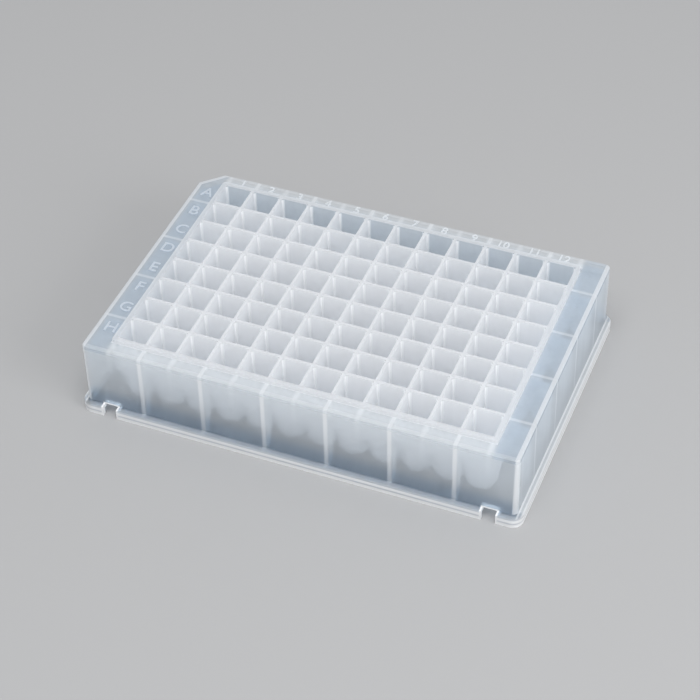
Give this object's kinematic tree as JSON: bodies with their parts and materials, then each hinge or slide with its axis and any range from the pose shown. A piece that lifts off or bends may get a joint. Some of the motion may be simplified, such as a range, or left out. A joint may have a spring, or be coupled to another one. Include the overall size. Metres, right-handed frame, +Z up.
{
  "type": "well plate",
  "caption": "Rectangular laboratory plate with a grid of square, round-bottomed wells in a raised block, a flat deck, a hollow ribbed skirt, a notched base flange and one cut corner.",
  "frame": {"origin": "centre of the footprint, at the height of the surface the plate stands on", "axes": "+X along the long side, from the first column of wells to the last; +Y from the last row to the first, so the cut corner is at -X, +Y; +Z up, out of the wells"},
  "size_m": [0.1278, 0.0854, 0.0242],
  "materials": {
    "natural_polypropylene": "satin, milky and translucent, uncoloured"
  },
  "bodies": {
    "root": {"well_plate": "natural_polypropylene"}
  },
  "joints": []
}
